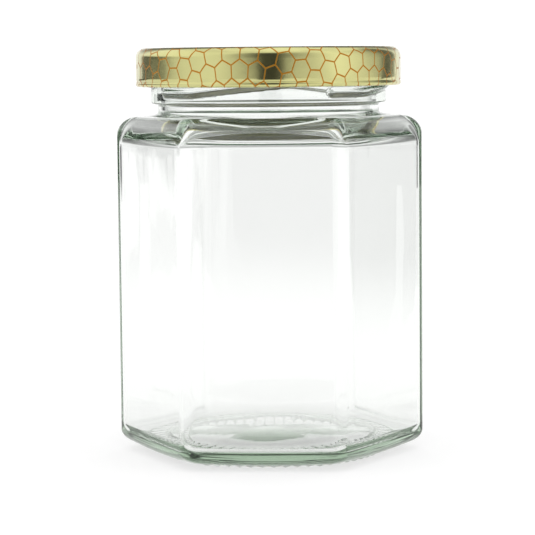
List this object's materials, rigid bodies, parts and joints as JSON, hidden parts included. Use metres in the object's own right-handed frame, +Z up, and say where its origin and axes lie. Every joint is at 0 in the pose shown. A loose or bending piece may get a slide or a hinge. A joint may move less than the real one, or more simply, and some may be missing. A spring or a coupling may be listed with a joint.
{
  "type": "hexagonal honey jar",
  "caption": "Empty clear glass jar with a hexagonal body, round threaded neck and knurled base, closed by a gold twist-off lid printed with a honeycomb pattern.",
  "frame": {"origin": "centre of the base, on the surface that the jar stands on", "axes": "+Z up along the jar's axis; +X through a corner of the hexagon; -Y out of the front flat"},
  "size_m": [0.0764, 0.067, 0.1012],
  "materials": {
    "clear_glass": "clear pressed and blown soda-lime glass with a very pale green cast where it is thick",
    "gold_lacquer": "pale gold lacquered sheet steel, satin gloss, printed with thin orange-brown honeycomb lines"
  },
  "bodies": {
    "root": {"glass_jar": "clear_glass", "lid": "gold_lacquer"}
  },
  "joints": []
}
